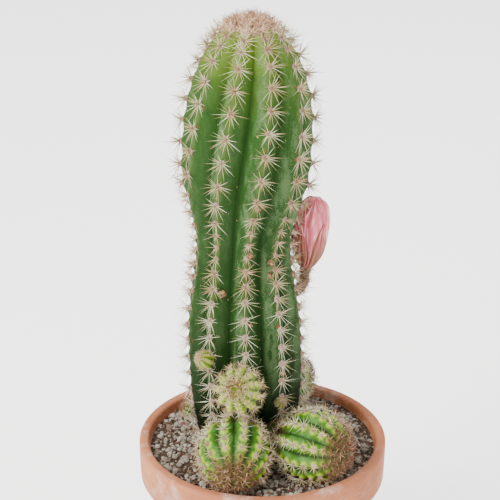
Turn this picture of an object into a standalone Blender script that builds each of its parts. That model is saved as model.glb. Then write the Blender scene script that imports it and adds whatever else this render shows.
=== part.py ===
"""A potted column cactus with offsets and a flower bud.

Metres, +Z up, origin at the centre of the pot's underside. The plant's front faces -Y, and
angles round the stem are measured in degrees from the front towards +X.
"""

import math

import bmesh
import bpy
from mathutils import Matrix, Vector

# Clearance between pieces that touch
CLEARANCE = 0.0003

# Pot
POT_HEIGHT = 0.200
POT_WALL = 0.010
POT_FLOOR = 0.012
POT_BASE_RADIUS = 0.080
POT_EDGE = 0.002  # bevel on the pot's edges
RIM_BAND_HEIGHT = 0.040
RIM_BAND_STEP = 0.004  # how far the band stands out from the wall below it
RIM_ROOM = 0.001  # between the mouth and the offset that reaches furthest
DRAIN_HOLE_RADIUS = 0.011
POT_SIDES = 48

# Potsherd over the drainage hole
CROCK_LENGTH = 0.046
CROCK_THICKNESS = 0.007
CROCK_RADIUS = 0.030  # of its outer face
CROCK_HALF_ARC = 48.0

# Soil
SOIL_DROP = 0.012  # soil surface below the pot's top edge

# Main stem: heights are above the soil, radii are to the rib crests
STEM_X = -0.0155
STEM_Y = 0.016
STEM_HEIGHT = 0.421
STEM_BURIED = 0.030
STEM_BURIED_RADIUS = 0.026
FOOT_RADIUS = 0.045
LOWER_RADIUS = 0.056
LOWER_FROM = 0.080
LOWER_TO = 0.120
WAIST_RADIUS = 0.0448
WAIST_HEIGHT = 0.210
BULGE_RADIUS = 0.0595
BULGE_FROM = 0.280
BULGE_TO = 0.310
WAIST_LEAN = -0.003  # the axis's place at the waist, to +X of the foot
CROWN_LEAN = 0.0035
CROWN_LEAN_HEIGHT = 0.380
STEM_RIBS = 10
STEM_RIB_DEPTH = 0.20  # of the crest radius
FRONT_RIB = 1.0  # direction of the front rib at the foot
RIB_TURN_FROM = 0.185  # height where the ribs begin to turn
RIB_TURN_RATE = 112.0  # degrees per metre of height
RIB_TURN_EASE = 0.030
STEM_RINGS = 30
STEM_DOME_RINGS = 8
STEM_SIDES_PER_RIB = 4

# Offsets: name, direction of the centre, height of the centre (None where it rests on the soil),
# crest radius, length of the neck, direction and rise of its own axis, ribs
OFFSETS = (
    ("offset_front_left", -7.3, None, 0.0325, 0.0027, 0.0, -12.0, 11),
    ("offset_right", 41.0, None, 0.033, 0.0118, 50.0, 6.0, 11),
    ("offset_front", -3.7, 0.0945, 0.0205, 0.0035, -13.0, 31.0, 10),
    ("offset_back_right", 145.0, 0.0300, 0.0225, 0.0040, 140.0, 30.0, 10),
    ("offset_tiny_left", -34.2, 0.1120, 0.0084, 0.0005, -50.0, 35.0, 8),
    ("offset_tiny_right", 33.0, 0.0650, 0.0047, 0.0005, 30.0, 50.0, 8),
    ("offset_tiny_far_left", -72.0, 0.0400, 0.0060, 0.0005, -80.0, 30.0, 8),
)
OFFSET_LENGTH_SHARE = 1.06  # half-length of an offset over its crest radius
OFFSET_PRESS = 0.001  # how deep a resting offset sits in the soil
OFFSET_RIB_DEPTH = 0.15
NECK_RADIUS_SHARE = 0.42  # of the offset's radius
NECK_INTO_STEM = 0.008
SMALL_OFFSET = 0.010  # an offset below this radius is made with fewer faces

# Flower bud and its tube
BUD_DIRECTION = 115.0
BUD_BASE_HEIGHT = 0.171
BUD_STANDOFF = 0.0165  # from the stem's crests to the bud's base
BUD_LENGTH = 0.073
BUD_RADIUS = 0.0175
BUD_BASE_RADIUS = 0.0055
BUD_WIDEST = 0.47  # of its length, up from its base
BUD_BLUNTNESS = 4.0  # power of the curve from its widest level to its tip
BUD_LEAN = 7.0  # degrees towards +X
TEPAL_THICKNESS = 0.0012
OUTER_TEPAL_COUNT = 5
INNER_TEPAL_COUNT = 5
TEPAL_FACETS = 4  # across each tepal
BUD_RINGS = 12  # equal steps along the bud, which every layer shares
OUTER_TEPAL_RINGS = 9
INNER_TEPAL_RINGS = 11
TUBE_RADIUS = 0.0042
TUBE_SEAT_HEIGHT = 0.147

SOIL_TOP = POT_HEIGHT - SOIL_DROP
UP = Vector((0.0, 0.0, 1.0))


def set_up_scene():
    """An empty scene with one collection for the pieces and one for the cutters."""
    for thing in list(bpy.data.objects):
        bpy.data.objects.remove(thing, do_unlink=True)
    made = []
    for name in ("potted_cactus", "cutters"):
        collection = bpy.data.collections.new(name)
        bpy.context.scene.collection.children.link(collection)
        made.append(collection)
    return made


PIECES, CUTTERS = set_up_scene()


def material(name, colour, roughness):
    made = bpy.data.materials.new(name)
    made.use_nodes = True
    shader = made.node_tree.nodes["Principled BSDF"]
    shader.inputs["Base Color"].default_value = (*colour, 1.0)
    shader.inputs["Roughness"].default_value = roughness
    shader.inputs["Metallic"].default_value = 0.0
    made.diffuse_color = (*colour, 1.0)
    return made


def add_object(name, mesh, collection, finish=None):
    """A new object for a bmesh, which is freed."""
    data = bpy.data.meshes.new(name)
    mesh.to_mesh(data)
    mesh.free()
    made = bpy.data.objects.new(name, data)
    collection.objects.link(made)
    if finish:
        data.materials.append(finish)
        data.shade_smooth()
        data.set_sharp_from_angle(angle=math.radians(30))
    if collection == CUTTERS:
        made.hide_render = True
        made.display_type = "WIRE"
    return made


def boolean(piece, tool, operation="DIFFERENCE"):
    step = piece.modifiers.new(f"{operation.lower()} {tool.name}", "BOOLEAN")
    step.solver = "EXACT"
    step.operation = operation
    step.object = tool


def turned(name, profile, collection, finish=None):
    """A profile of (radius, height) points, closed on itself or on the axis, turned round Z."""
    mesh = bmesh.new()
    points = [mesh.verts.new((radius, 0.0, height)) for radius, height in profile]
    for first, second in zip(points, points[1:]):
        mesh.edges.new((first, second))
    if profile[0][0] > 0.0:
        mesh.edges.new((points[-1], points[0]))
    made = add_object(name, mesh, collection, finish)
    screw = made.modifiers.new("turn", "SCREW")
    screw.steps = screw.render_steps = POT_SIDES
    screw.use_merge_vertices = True
    screw.merge_threshold = 0.00001
    return made


def direction(degrees):
    """The level unit vector at an angle from the front towards +X."""
    angle = math.radians(degrees)
    return Vector((math.sin(angle), -math.cos(angle), 0.0))


def ease(share):
    share = min(max(share, 0.0), 1.0)
    return share * share * (3.0 - 2.0 * share)


# ---- the stem's shape


def crest_radius(height):
    if height < 0.0:
        return FOOT_RADIUS + (STEM_BURIED_RADIUS - FOOT_RADIUS) * (-height / STEM_BURIED) ** 1.5
    if height < LOWER_FROM:
        swell = math.sin(0.5 * math.pi * height / LOWER_FROM)
        return FOOT_RADIUS + (LOWER_RADIUS - FOOT_RADIUS) * swell
    if height < WAIST_HEIGHT:
        share = ease((height - LOWER_TO) / (WAIST_HEIGHT - LOWER_TO))
        return LOWER_RADIUS + (WAIST_RADIUS - LOWER_RADIUS) * share
    if height < BULGE_TO:
        share = ease((height - WAIST_HEIGHT) / (BULGE_FROM - WAIST_HEIGHT))
        return WAIST_RADIUS + (BULGE_RADIUS - WAIST_RADIUS) * share
    rise = min((height - BULGE_TO) / (STEM_HEIGHT - BULGE_TO), 1.0)
    return BULGE_RADIUS * math.sqrt(1.0 - rise * rise)


def stem_axis(height):
    """The stem's axis at a height above the soil."""
    to_waist = ease(height / WAIST_HEIGHT)
    to_crown = ease((height - WAIST_HEIGHT) / (CROWN_LEAN_HEIGHT - WAIST_HEIGHT))
    lean = WAIST_LEAN * to_waist + (CROWN_LEAN - WAIST_LEAN) * to_crown
    return Vector((STEM_X + lean, STEM_Y, SOIL_TOP + height))


def rib_turn(height):
    above = height - RIB_TURN_FROM
    return FRONT_RIB + RIB_TURN_RATE * 0.5 * (above + math.hypot(above, RIB_TURN_EASE))


def nearest_crest(degrees, height):
    """The point on the rib crest nearest to a direction, and that crest's direction."""
    step = 360.0 / STEM_RIBS
    first = rib_turn(height)
    found = first + step * round((degrees - first) / step)
    return stem_axis(height) + crest_radius(height) * direction(found), found


def rib_share(degrees, ribs):
    """0 on a rib's crest and 1 in the valley beside it."""
    phase = degrees * ribs / 360.0
    return abs(2.0 * (phase - round(phase))) ** 1.5


def ring_ball(sides, rings, place):
    """A ball whose vertex on each ring, counted from the lower pole, goes where place says."""
    mesh = bmesh.new()
    bmesh.ops.create_uvsphere(mesh, u_segments=sides, v_segments=rings, radius=1.0)
    for vertex in mesh.verts:
        x, y, z = vertex.co
        ring = round(rings * math.acos(min(max(-z, -1.0), 1.0)) / math.pi)
        vertex.co = place(ring, math.degrees(math.atan2(x, -y)))
    return mesh


def slab_grid(across, along):
    """A block from -1 to 1 each way, its broad sides cut into across by along faces."""
    mesh = bmesh.new()
    bmesh.ops.create_cube(mesh, size=2.0)
    for axis, cuts in ((0, across - 1), (1, along - 1)):
        edges = [e for e in mesh.edges if abs(e.verts[0].co[axis] - e.verts[1].co[axis]) > 1.0]
        bmesh.ops.subdivide_edges(mesh, edges=edges, cuts=cuts, use_grid_fill=True)
    return mesh


def stem_mesh(grow=0.0):
    shaft_rings = STEM_RINGS - STEM_DOME_RINGS

    def place(ring, degrees):
        if ring == 0:
            return stem_axis(-STEM_BURIED - grow)
        if ring <= shaft_rings:
            share = (ring - 1) / (shaft_rings - 1)
            height = (BULGE_TO + STEM_BURIED + grow) * share - STEM_BURIED - grow
            radius = crest_radius(max(height, -STEM_BURIED))
        else:
            angle = 0.5 * math.pi * (ring - shaft_rings) / STEM_DOME_RINGS
            height = BULGE_TO + (STEM_HEIGHT - BULGE_TO) * math.sin(angle)
            radius = BULGE_RADIUS * math.cos(angle)
        valley = STEM_RIB_DEPTH * rib_share(degrees, STEM_RIBS)
        reach = radius * (1.0 - valley) + grow
        return stem_axis(height) + reach * direction(degrees + rib_turn(height))

    return ring_ball(STEM_RIBS * STEM_SIDES_PER_RIB, STEM_RINGS, place)


# ---- the offsets


def offset_centre(towards, height, radius, neck):
    if height is None:
        height = radius - OFFSET_PRESS
    return stem_axis(height) + (crest_radius(height) + neck + radius) * direction(towards)


def offset_mesh(centre, radius, facing, rise, ribs, grow=0.0):
    small = radius < SMALL_OFFSET
    sides_per_rib = 2 if small else 4
    rings = 8 if small else 12
    level = direction(facing)
    axis = (math.cos(math.radians(rise)) * level + math.sin(math.radians(rise)) * UP).normalized()
    turn = UP.rotation_difference(axis)

    def place(ring, degrees):
        polar = math.pi * ring / rings
        valley = OFFSET_RIB_DEPTH * rib_share(degrees, ribs)
        reach = (radius * (1.0 - valley) + grow) * math.sin(polar)
        along = -(radius * OFFSET_LENGTH_SHARE + grow) * math.cos(polar)
        return centre + turn @ (reach * direction(degrees) + along * UP)

    return ring_ball(ribs * sides_per_rib, rings, place)


def add_neck(name, start, end, radius):
    """A round neck between two points, as a tool for a union."""
    run = end - start
    mesh = bmesh.new()
    bmesh.ops.create_cone(
        mesh, cap_ends=True, segments=12, radius1=radius, radius2=radius, depth=run.length
    )
    turn = UP.rotation_difference(run.normalized()).to_matrix().to_4x4()
    bmesh.ops.transform(mesh, matrix=Matrix.Translation((start + end) / 2) @ turn, verts=mesh.verts)
    return add_object(name, mesh, CUTTERS)


def build_offsets(stem_space, finish):
    """Each offset with its neck trimmed to the stem, and the space of those that may meet the soil."""
    spaces = []
    for name, towards, height, radius, neck, facing, rise, ribs in OFFSETS:
        centre = offset_centre(towards, height, radius, neck)
        piece = add_object(name, offset_mesh(centre, radius, facing, rise, ribs), PIECES, finish)
        seat, seat_towards = nearest_crest(towards, centre.z - SOIL_TOP)
        end = seat - NECK_INTO_STEM * direction(seat_towards)
        boolean(piece, add_neck(f"{name}_neck", centre, end, radius * NECK_RADIUS_SHARE), "UNION")
        boolean(piece, stem_space)
        if radius >= SMALL_OFFSET:
            grown = offset_mesh(centre, radius, facing, rise, ribs, grow=CLEARANCE)
            spaces.append(add_object(f"{name}_space", grown, CUTTERS))
    return spaces


# ---- the flower bud


def bud_radius(share):
    """The closed bud's outer radius at a share of its length from its base."""
    if share < BUD_WIDEST:
        return BUD_BASE_RADIUS + (BUD_RADIUS - BUD_BASE_RADIUS) * ease(share / BUD_WIDEST)
    rise = min((share - BUD_WIDEST) / (1.0 - BUD_WIDEST), 1.0)
    return BUD_RADIUS * math.sqrt(1.0 - rise**BUD_BLUNTNESS)


def bud_frame():
    """The matrix that puts the bud's own axis, +Z from its base, in its place."""
    base = stem_axis(BUD_BASE_HEIGHT)
    base += (crest_radius(BUD_BASE_HEIGHT) + BUD_STANDOFF) * direction(BUD_DIRECTION)
    return Matrix.Translation(base) @ Matrix.Rotation(math.radians(BUD_LEAN), 4, "Y")


def build_bud_core(finish):
    """The rolled inner tepals as one solid, its facets lined up with the tepals round it."""
    depth = 2.0 * (TEPAL_THICKNESS + CLEARANCE)
    rings = BUD_RINGS + 1
    frame = bud_frame()

    def place(ring, degrees):
        share = max(ring - 1, 0) / BUD_RINGS
        closed = ring in (0, rings)
        reach = 0.0 if closed else bud_radius(share) - depth
        return frame @ (reach * direction(degrees) + share * BUD_LENGTH * UP)

    ball = ring_ball(INNER_TEPAL_COUNT * TEPAL_FACETS, rings, place)
    return add_object("bud_core", ball, PIECES, finish)


def tepal_mesh(towards, half_width, outer_inset, rings):
    """One tepal, a curved sheet that narrows to its tip: half_width in degrees."""
    frame = bud_frame()
    mesh = slab_grid(TEPAL_FACETS, rings)
    top = rings / BUD_RINGS
    for vertex in mesh.verts:
        side, rise, outer = vertex.co
        share = top * 0.5 * (rise + 1.0)
        inset = outer_inset if outer > 0.0 else outer_inset + TEPAL_THICKNESS
        reach = bud_radius(share) - inset
        taper = 1.0 - 0.75 * (share / top) ** 5
        gap = math.degrees(0.5 * CLEARANCE / reach)
        degrees = towards + side * (half_width * taper - gap)
        vertex.co = frame @ (reach * direction(degrees) + share * BUD_LENGTH * UP)
    return mesh


def build_tepals(finish_inner, finish_outer):
    inner_step = 360.0 / INNER_TEPAL_COUNT
    for number in range(INNER_TEPAL_COUNT):
        inset = TEPAL_THICKNESS + CLEARANCE
        mesh = tepal_mesh(inner_step * number, 0.5 * inner_step, inset, INNER_TEPAL_RINGS)
        add_object(f"inner_tepal_{number + 1}", mesh, PIECES, finish_inner)
    outer_step = 360.0 / OUTER_TEPAL_COUNT
    for number in range(OUTER_TEPAL_COUNT):
        towards = outer_step * (number + 0.5)
        mesh = tepal_mesh(towards, 0.44 * outer_step, 0.0, OUTER_TEPAL_RINGS)
        add_object(f"outer_tepal_{number + 1}", mesh, PIECES, finish_outer)


def build_floral_tube(stem_space, finish):
    """A bent tube from a rib crest to just below the bud, trimmed to the stem."""
    frame = bud_frame()
    bud_axis = frame.to_3x3() @ UP
    seat, seat_towards = nearest_crest(BUD_DIRECTION, TUBE_SEAT_HEIGHT)
    out = direction(seat_towards)
    top = frame.translation - CLEARANCE * bud_axis
    bend = seat + 0.55 * BUD_STANDOFF * out
    curve = bpy.data.curves.new("floral_tube_path", "CURVE")
    curve.dimensions = "3D"
    curve.bevel_depth = TUBE_RADIUS
    curve.bevel_resolution = 2
    curve.resolution_u = 5
    curve.use_fill_caps = True
    spline = curve.splines.new("BEZIER")
    spline.bezier_points.add(1)
    first, last = spline.bezier_points
    first.co = seat - NECK_INTO_STEM * out
    first.handle_left = first.co - 0.3 * (bend - first.co)
    first.handle_right = bend
    last.co = top
    last.handle_left = top - 0.4 * (top - seat).length * bud_axis
    last.handle_right = top + 0.3 * TUBE_RADIUS * bud_axis
    last.radius = 1.15
    path = bpy.data.objects.new("floral_tube_path", curve)
    CUTTERS.objects.link(path)
    bpy.context.view_layer.update()
    depsgraph = bpy.context.evaluated_depsgraph_get()
    data = bpy.data.meshes.new_from_object(path.evaluated_get(depsgraph))
    mesh = bmesh.new()
    mesh.from_mesh(data)
    bmesh.ops.transform(mesh, matrix=path.matrix_world, verts=mesh.verts)
    bmesh.ops.remove_doubles(mesh, verts=mesh.verts[:], dist=0.00001)
    mesh.normal_update()
    bmesh.ops.recalc_face_normals(mesh, faces=mesh.faces[:])
    bpy.data.objects.remove(path, do_unlink=True)
    bpy.data.meshes.remove(data)
    tube = add_object("floral_tube", mesh, PIECES, finish)
    boolean(tube, stem_space)


# ---- the pot and what is in it


def mouth_radius():
    """The pot's inner radius at its top, which leaves room for every offset."""
    reach = 0.0
    for _, towards, height, radius, neck, *_ in OFFSETS:
        centre = offset_centre(towards, height, radius, neck)
        reach = max(reach, math.hypot(centre.x, centre.y) + radius * OFFSET_LENGTH_SHARE)
    return reach + RIM_ROOM


def inner_radius(height):
    """The radius of the pot's sloping inner wall at a height above its underside."""
    low = POT_BASE_RADIUS - POT_WALL
    foot, top = POT_FLOOR + POT_EDGE, POT_HEIGHT - POT_EDGE
    return low + (mouth_radius() - low) * (height - foot) / (top - foot)


def build_pot(finish):
    band_radius = mouth_radius() + POT_WALL
    band_foot = POT_HEIGHT - RIM_BAND_HEIGHT
    under_band = inner_radius(band_foot) + POT_WALL
    under_band = min(under_band, band_radius - RIM_BAND_STEP)
    foot_inner = POT_BASE_RADIUS - POT_WALL
    return turned(
        "pot",
        (
            (band_radius - POT_EDGE, POT_HEIGHT),
            (band_radius, POT_HEIGHT - POT_EDGE),
            (band_radius - 0.5 * POT_EDGE, band_foot + POT_EDGE),
            (band_radius - 1.5 * POT_EDGE, band_foot),
            (under_band, band_foot),
            (POT_BASE_RADIUS, POT_EDGE),
            (POT_BASE_RADIUS - POT_EDGE, 0.0),
            (DRAIN_HOLE_RADIUS + POT_EDGE, 0.0),
            (DRAIN_HOLE_RADIUS, POT_EDGE),
            (DRAIN_HOLE_RADIUS, POT_FLOOR),
            (foot_inner - POT_EDGE, POT_FLOOR),
            (foot_inner, POT_FLOOR + POT_EDGE),
            (mouth_radius(), POT_HEIGHT - POT_EDGE),
            (mouth_radius() + POT_EDGE, POT_HEIGHT),
        ),
        PIECES,
        finish,
    )


def crock_axis_height():
    """The height of the axis that the potsherd curves round."""
    inner = CROCK_RADIUS - CROCK_THICKNESS
    return POT_FLOOR + CLEARANCE - inner * math.cos(math.radians(CROCK_HALF_ARC))


def build_crock(finish):
    mesh = slab_grid(across=8, along=3)
    for vertex in mesh.verts:
        side, far, outer = vertex.co
        reach = CROCK_RADIUS if outer > 0.0 else CROCK_RADIUS - CROCK_THICKNESS
        angle = math.radians(CROCK_HALF_ARC * side)
        length = 0.5 * CROCK_LENGTH * far * (1.0 - 0.12 * side)
        vertex.co = (reach * math.sin(angle), length, crock_axis_height() + reach * math.cos(angle))
    return add_object("drain_crock", mesh, PIECES, finish)


def build_soil(stem_space, offset_spaces, finish):
    bottom = POT_FLOOR + CLEARANCE
    foot_radius = POT_BASE_RADIUS - POT_WALL - CLEARANCE
    soil = turned(
        "soil",
        (
            (0.0, SOIL_TOP),
            (inner_radius(SOIL_TOP) - CLEARANCE, SOIL_TOP),
            (foot_radius, bottom + POT_EDGE),
            (foot_radius - POT_EDGE, bottom),
            (0.0, bottom),
        ),
        PIECES,
        finish,
    )
    mesh = bmesh.new()
    bmesh.ops.create_cone(
        mesh,
        cap_ends=True,
        segments=24,
        radius1=CROCK_RADIUS + CLEARANCE,
        radius2=CROCK_RADIUS + CLEARANCE,
        depth=CROCK_LENGTH * 1.12 + 2.0 * CLEARANCE,
    )
    lay = Matrix.Translation((0.0, 0.0, crock_axis_height())) @ Matrix.Rotation(math.pi / 2, 4, "X")
    bmesh.ops.transform(mesh, matrix=lay, verts=mesh.verts)
    boolean(soil, add_object("crock_space", mesh, CUTTERS))
    boolean(soil, stem_space)
    for space in offset_spaces:
        boolean(soil, space)


def main():
    clay = material("terracotta", (0.55, 0.24, 0.13), 0.85)
    earth = material("cactus_soil", (0.10, 0.07, 0.05), 0.95)
    stem_skin = material("stem_skin", (0.10, 0.26, 0.08), 0.55)
    offset_skin = material("offset_skin", (0.24, 0.44, 0.08), 0.55)
    tube_skin = material("tube_skin", (0.38, 0.24, 0.15), 0.75)
    pink = material("tepal_pink", (0.86, 0.38, 0.42), 0.6)
    dusky = material("tepal_dusky", (0.70, 0.32, 0.30), 0.65)

    stem_space = add_object("stem_space", stem_mesh(grow=CLEARANCE), CUTTERS)
    add_object("main_stem", stem_mesh(), PIECES, stem_skin)
    offset_spaces = build_offsets(stem_space, offset_skin)
    build_floral_tube(stem_space, tube_skin)
    build_bud_core(pink)
    build_tepals(pink, dusky)
    build_pot(clay)
    build_crock(clay)
    build_soil(stem_space, offset_spaces, earth)


main()
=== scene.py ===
"""The looks of a potted column cactus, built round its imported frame.

Metres, in the frame's own axes: +Z up, the plant's front towards -Y. Directions round a stem
are in degrees from the front towards +X.
"""

import math
import random
from collections import namedtuple
from contextlib import contextmanager

import bmesh
import bpy
import numpy as np
from mathutils import Matrix, Vector, noise
from mathutils.bvhtree import BVHTree


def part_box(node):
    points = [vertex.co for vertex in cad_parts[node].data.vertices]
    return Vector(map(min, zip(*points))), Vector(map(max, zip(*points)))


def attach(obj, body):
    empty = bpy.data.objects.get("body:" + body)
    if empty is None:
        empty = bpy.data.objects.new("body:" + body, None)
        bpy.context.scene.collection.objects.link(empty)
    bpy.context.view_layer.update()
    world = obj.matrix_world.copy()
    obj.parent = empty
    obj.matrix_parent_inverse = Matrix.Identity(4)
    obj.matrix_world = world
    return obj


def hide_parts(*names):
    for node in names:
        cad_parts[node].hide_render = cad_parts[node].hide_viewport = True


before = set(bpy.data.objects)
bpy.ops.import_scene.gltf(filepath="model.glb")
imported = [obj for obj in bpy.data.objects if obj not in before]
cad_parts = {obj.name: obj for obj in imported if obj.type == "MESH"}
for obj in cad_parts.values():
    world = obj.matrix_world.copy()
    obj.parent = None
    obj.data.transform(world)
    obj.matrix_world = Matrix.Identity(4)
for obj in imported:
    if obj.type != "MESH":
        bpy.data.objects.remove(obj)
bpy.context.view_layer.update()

UP = Vector((0.0, 0.0, 1.0))
MM = 0.001
SAME_PLACE = 1e-5  # points closer than this count as one
dice = random.Random(11)

# ---- facts about the plant

STEM_RIBS = 10
STEM_RIB_DEPTH = 0.22  # of the crest radius
CAGE_SIDES_PER_RIB = 8
VALLEY_CREASE = 0.55
# spacing of the areoles along a rib, in millimetres, at heights above the soil
AREOLE_HEIGHTS = (0, 60, 130, 170, 205, 222, 245, 270, 310, 350, 375, 395, 410, 416, 421)
AREOLE_SPACING = (15, 16, 17.5, 16, 13.5, 12.5, 14, 19, 22, 21.5, 20, 17.5, 10, 6.5, 5)
# how far below the tip the top areoles sit, on ribs and between ribs by turns
TOP_AREOLES = (0.0012, 0.0040, 0.0028, 0.0052)
CROWN_DEPTH = 0.009  # areoles stand between the ribs only this far below the tip

# direction and rise of each offset's own axis, ribs, areole spacing and spine length
OFFSETS = {
    "offset_front_left": (0.0, -12.0, 11, 9.6 * MM, 11.5 * MM),
    "offset_right": (50.0, 6.0, 11, 9.6 * MM, 11.5 * MM),
    "offset_front": (-13.0, 31.0, 11, 7.4 * MM, 9.5 * MM),
    "offset_back_right": (140.0, 30.0, 11, 5.8 * MM, 12.0 * MM),
    "offset_tiny_left": (-50.0, 35.0, 8, 3.4 * MM, 4.8 * MM),
    "offset_tiny_right": (30.0, 50.0, 8, 2.3 * MM, 4.0 * MM),
    "offset_tiny_far_left": (-80.0, 30.0, 8, 2.6 * MM, 5.0 * MM),
}
TENDER_OFFSETS = ("offset_front", "offset_tiny_left", "offset_tiny_right")
OFFSET_LENGTH_SHARE = 1.06  # half-length over crest radius
OFFSET_RIB_DEPTH = 0.15
BUD_LEAN = 7.0  # degrees towards +X

# rays, central thorns, how bare the star's upper side is (0 to 1), and thickness
TUFTS = {
    "star": (14, 14, 0.1, 0.70),
    "fan": (10, 9, 0.6, 0.50),
    "sparse": (6, 8, 0.5, 0.72),
    "small": (10, 7, 0.0, 0.9),
    "tender": (8, 4, 0.0, 0.8),
    "bristle": (6, 7, 0.0, 1.5),
    "brush": (8, 14, 0.0, 1.3),
}
TUFTS_OF_A_KIND = 6
GOLDEN_ANGLE = 137.5  # between one scale and the next on a growing shoot
SEPAL_TOPS = (0.70, 0.60, 0.74, 0.55, 0.66)  # how far up the bud each outer tepal reaches
HAIR_BENDS = (70.0, 130.0, 200.0)
TUBE_BRACTS = 90
HAIRS_PER_BRACT = 3
BUD_HAIRS = 70

# detail and number of the stones to copy, number of copies, and their radii in millimetres
GRIT = {
    "fine_grit": (1, 4, 2600, (0.9, 1.9)),
    "coarse_grit": (2, 5, 1000, (1.9, 3.6)),
}

# place, size, watts and colour of each lamp
LAMPS = {
    "key": ((-1.5, -1.2, 1.9), 0.9, 98.0, (1.0, 0.98, 0.94)),
    "fill": ((1.6, -1.2, 1.2), 1.6, 3.0, (0.98, 0.98, 1.0)),
    "back": ((0.5, 1.7, 1.7), 1.2, 12.0, (1.0, 1.0, 1.0)),
}
LAMPS_AIM = Vector((0.0, 0.0, 0.38))
SKY_STRENGTH = 1.45
FLOOR_SIZE = 60.0
FLOOR_GLOW = 1.5
CAMERA_LENS = 103.3  # millimetres, on a 36 mm sensor
CAMERA_PLACE = (-0.012, -1.224, 0.716)  # its height is from the soil's top
CAMERA_DIP = 22.6  # degrees below level

SOIL_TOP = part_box("soil")[1].z


def direction(degrees):
    angle = math.radians(degrees)
    return Vector((math.sin(angle), -math.cos(angle), 0.0))


def rotation(degrees, axis):
    return Matrix.Rotation(math.radians(degrees), 4, axis)


def ease(share):
    share = min(max(share, 0.0), 1.0)
    return share * share * (3.0 - 2.0 * share)


# ---- modelling by hand


def choose(*things):
    bpy.ops.object.select_all(action="DESELECT")
    for thing in things:
        thing.select_set(True)
    bpy.context.view_layer.objects.active = things[0]


@contextmanager
def editing(piece):
    choose(piece)
    bpy.ops.object.mode_set(mode="EDIT")
    bpy.context.tool_settings.mesh_select_mode = (True, False, False)
    yield
    bpy.ops.object.mode_set(mode="OBJECT")


def select_all():
    bpy.ops.mesh.select_all(action="SELECT")


def select_marked(piece, chosen):
    """In edit mode, selects the points with a true mark."""
    shape = bmesh.from_edit_mesh(piece.data)
    for vertex, mark in zip(shape.verts, chosen):
        vertex.select = bool(mark)
    shape.select_flush_mode()
    bmesh.update_edit_mesh(piece.data)


def select_points(piece, test):
    """In edit mode, selects the points whose place passes a test."""
    shape = bmesh.from_edit_mesh(piece.data)
    select_marked(piece, [test(vertex.co) for vertex in shape.verts])


def settle(piece):
    """Puts a piece's place, turn and scale into its mesh."""
    choose(piece)
    bpy.ops.object.transform_apply(location=True, rotation=True, scale=True)
    return piece


def finish_with(piece, kind, **settings):
    """Adds a modifier and applies it."""
    choose(piece)
    step = piece.modifiers.new(kind.lower(), kind)
    for key, value in settings.items():
        setattr(step, key, value)
    bpy.ops.object.modifier_apply(modifier=step.name)
    return piece


def subdivide(piece, levels):
    return finish_with(piece, "SUBSURF", levels=levels, render_levels=levels)


def new_piece(name, kind, location=(0.0, 0.0, 0.0), **settings):
    """A primitive at its size and place, which the caller goes on to shape."""
    bpy.ops.object.select_all(action="DESELECT")
    getattr(bpy.ops.mesh, f"primitive_{kind}_add")(location=location, **settings)
    piece = bpy.context.object
    piece.name = piece.data.name = name
    return settle(piece)


def new_ring(name, sides, radius, centre=(0.0, 0.0, 0.0)):
    return new_piece(name, "circle", vertices=sides, radius=radius, location=centre)


def lift(step):
    """In edit mode, extrudes what is selected by a step."""
    bpy.ops.mesh.extrude_region_move(TRANSFORM_OT_translate={"value": tuple(step)})


def widen(share, centre):
    """In edit mode, scales what is selected level with the floor."""
    bpy.ops.transform.resize(value=(share, share, 1.0), center_override=tuple(centre))


def turn(degrees, centre):
    """In edit mode, turns what is selected from the front towards +X."""
    bpy.ops.transform.rotate(
        value=-math.radians(degrees), orient_axis="Z", center_override=tuple(centre)
    )


def close_end(step):
    """In edit mode, draws the selected ring together to a point."""
    lift(step)
    bpy.ops.mesh.merge(type="CENTER")


def shut_root(piece):
    """In edit mode, puts a face across the ring that a thorn or hair starts from."""
    select_points(piece, lambda place: place.z < 0.01)
    bpy.ops.mesh.edge_face_add()


def turned_profile(name, sides, rings, closed=False):
    """A ring drawn through (radius, height) pairs; its ends are closed unless it meets itself."""
    radius, low = rings[0]
    piece = new_ring(name, sides, radius, (0.0, 0.0, low))
    with editing(piece):
        select_all()
        for wide, high in rings[1:]:
            lift((0.0, 0.0, high - low))
            widen(wide / radius, (0.0, 0.0, high))
            radius, low = wide, high
        if closed:
            select_all()
            bpy.ops.mesh.remove_doubles(threshold=SAME_PLACE)
        else:
            close_end((0.0, 0.0, 0.0))
            bpy.ops.mesh.select_all(action="DESELECT")
            bpy.ops.mesh.select_non_manifold(extend=False)
            close_end((0.0, 0.0, 0.0))
    return facing_out(piece)


def facing_out(piece):
    with editing(piece):
        select_all()
        bpy.ops.mesh.normals_make_consistent(inside=False)
    return piece


def joined(name, copies):
    """One piece of many copies, each with its own mesh."""
    choose(*copies)
    if len(copies) > 1:
        bpy.ops.object.join()
    piece = bpy.context.object
    piece.name = piece.data.name = name
    return settle(piece)


def put_in_scene(name, data):
    made = bpy.data.objects.new(name, data)
    bpy.context.scene.collection.objects.link(made)
    return made


def copy_to(template, matrix, **marks):
    """A copy of a template with its own mesh, and the marks that its material reads."""
    made = template.copy()
    made.data = template.data.copy()
    bpy.context.scene.collection.objects.link(made)
    made.matrix_world = matrix
    for name, value in marks.items():
        per_point(made, name, value)
    return made


def discard(things):
    for thing in things:
        bpy.data.objects.remove(thing, do_unlink=True)


def per_point(piece, name, values):
    """One number for all points of a mesh, or one for each, which materials read."""
    data = piece.data
    layer = data.attributes.get(name) or data.attributes.new(name, "FLOAT", "POINT")
    layer.data.foreach_set("value", np.full(len(data.vertices), values, np.float32))


def points_of(piece, what="co"):
    points = np.empty(len(piece.data.vertices) * 3)
    piece.data.vertices.foreach_get(what, points)
    return points.reshape(-1, 3)


def move_points(piece, points):
    piece.data.vertices.foreach_set("co", np.asarray(points, np.float32).ravel())
    piece.data.update()


def place_points(piece, rule):
    """Moves every point to where a rule puts it."""
    move_points(piece, [rule(Vector(point)) for point in points_of(piece)])


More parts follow.
